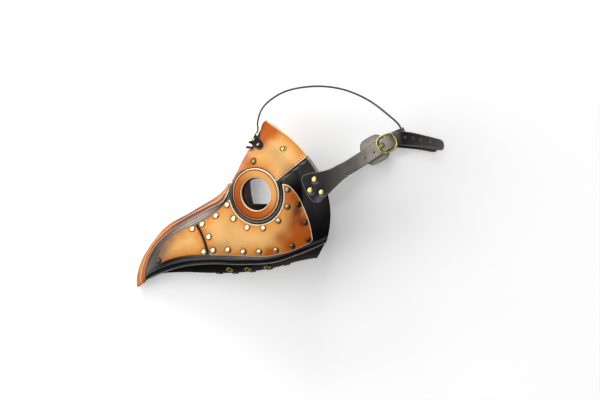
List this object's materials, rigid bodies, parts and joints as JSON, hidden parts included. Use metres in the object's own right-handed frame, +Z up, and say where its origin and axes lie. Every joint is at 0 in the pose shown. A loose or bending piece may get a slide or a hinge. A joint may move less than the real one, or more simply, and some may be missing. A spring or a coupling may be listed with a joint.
{
  "type": "leather plague doctor mask",
  "caption": "Beaked leather mask with riveted tan panels on a black body, round goggle rings with dark lenses, vent eyelets under the beak and a buckled strap harness.",
  "frame": {"origin": "middle of the bounding box at its underside, on the ground the mask lies on", "axes": "+X from the tip of the beak towards the strap ends, +Y from the chin towards the crown, +Z up, out of the left cheek; the mask lies on its right side"},
  "size_m": [0.4472, 0.2786, 0.2013],
  "materials": {
    "black_leather": "black leather with a soft grey sheen",
    "tan_leather": "honey brown leather, burnished darker at the edges and rivets",
    "crest_leather": "orange brown leather with a stitched dark red brown band",
    "ring_leather": "thick reddish brown leather with pale cut edges and a row of stitches",
    "strap_leather": "matt black strap leather",
    "brass": "pale polished brass",
    "lens": "dark glossy lens"
  },
  "bodies": {
    "root": {"base_left": "black_leather", "base_right": "black_leather", "beak_floor": "black_leather", "beak_tip_panel_left": "tan_leather", "beak_tip_panel_right": "tan_leather", "cheek_panel_left": "tan_leather", "cheek_panel_right": "tan_leather", "forehead_panel_left": "tan_leather", "forehead_panel_right": "tan_leather", "crest_strip": "crest_leather", "eye_ring_left": "ring_leather", "eye_ring_right": "ring_leather", "brow_tab_left": "strap_leather", "brow_tab_right": "strap_leather", "side_strap_left": "strap_leather", "side_strap_right": "strap_leather", "buckle_pad_left": "strap_leather", "buckle_pad_right": "strap_leather", "back_strap": "strap_leather", "top_strap": "strap_leather", "brow_belt_1": "strap_leather", "brow_belt_2": "strap_leather", "lens_left": "lens", "lens_right": "lens", "buckle_left": "brass", "buckle_right": "brass", "buckle_tongue_left": "brass", "buckle_tongue_right": "brass", "vent_eyelet_1": "brass", "vent_eyelet_2": "brass", "vent_eyelet_3": "brass", "vent_eyelet_4": "brass", "vent_eyelet_5": "brass", "vent_eyelet_6": "brass", "vent_eyelet_7": "brass", "vent_eyelet_8": "brass", "vent_eyelet_9": "brass", "vent_eyelet_10": "brass", "vent_eyelet_11": "brass", "strap_rivet_left_1": "brass", "strap_rivet_left_2": "brass", "strap_rivet_left_3": "brass", "brow_rivet_left_1": "brass", "brow_rivet_left_2": "brass", "brow_eyelet_left_1": "brass", "strap_rivet_right_1": "brass", "strap_rivet_right_2": "brass", "strap_rivet_right_3": "brass", "brow_rivet_right_1": "brass", "brow_rivet_right_2": "brass", "brow_eyelet_right_1": "brass"}
  },
  "joints": []
}
